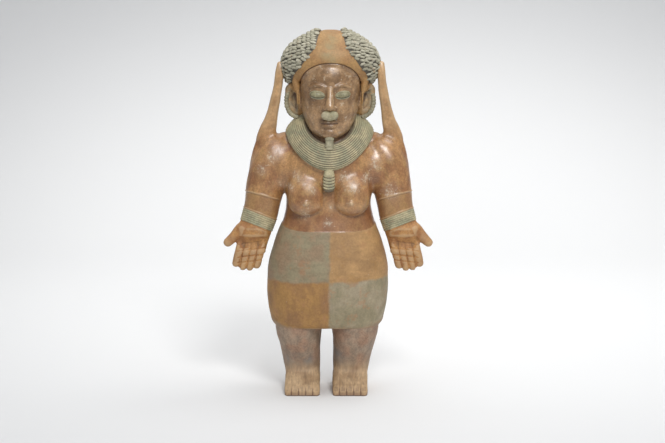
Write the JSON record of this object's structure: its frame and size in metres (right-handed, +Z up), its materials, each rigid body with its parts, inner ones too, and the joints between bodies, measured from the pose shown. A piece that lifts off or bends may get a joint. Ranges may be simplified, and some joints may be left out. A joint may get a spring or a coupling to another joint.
{
  "type": "standing female figure",
  "caption": "Standing pottery woman with open hands, textured hair lobes, shoulder straps, wide ribbed collar, wristbands and a painted barrel skirt.",
  "frame": {"origin": "on the ground, under the middle of the figure's bounding box", "axes": "+Z up through the head, -Y the way she faces, +X to the right as seen from the front"},
  "size_m": [0.2866, 0.116, 0.5],
  "materials": {
    "fired_clay": "burnished red-brown clay with matt ochre and grey-green paint"
  },
  "bodies": {
    "root": {"standing_figure": "fired_clay"}
  },
  "joints": []
}
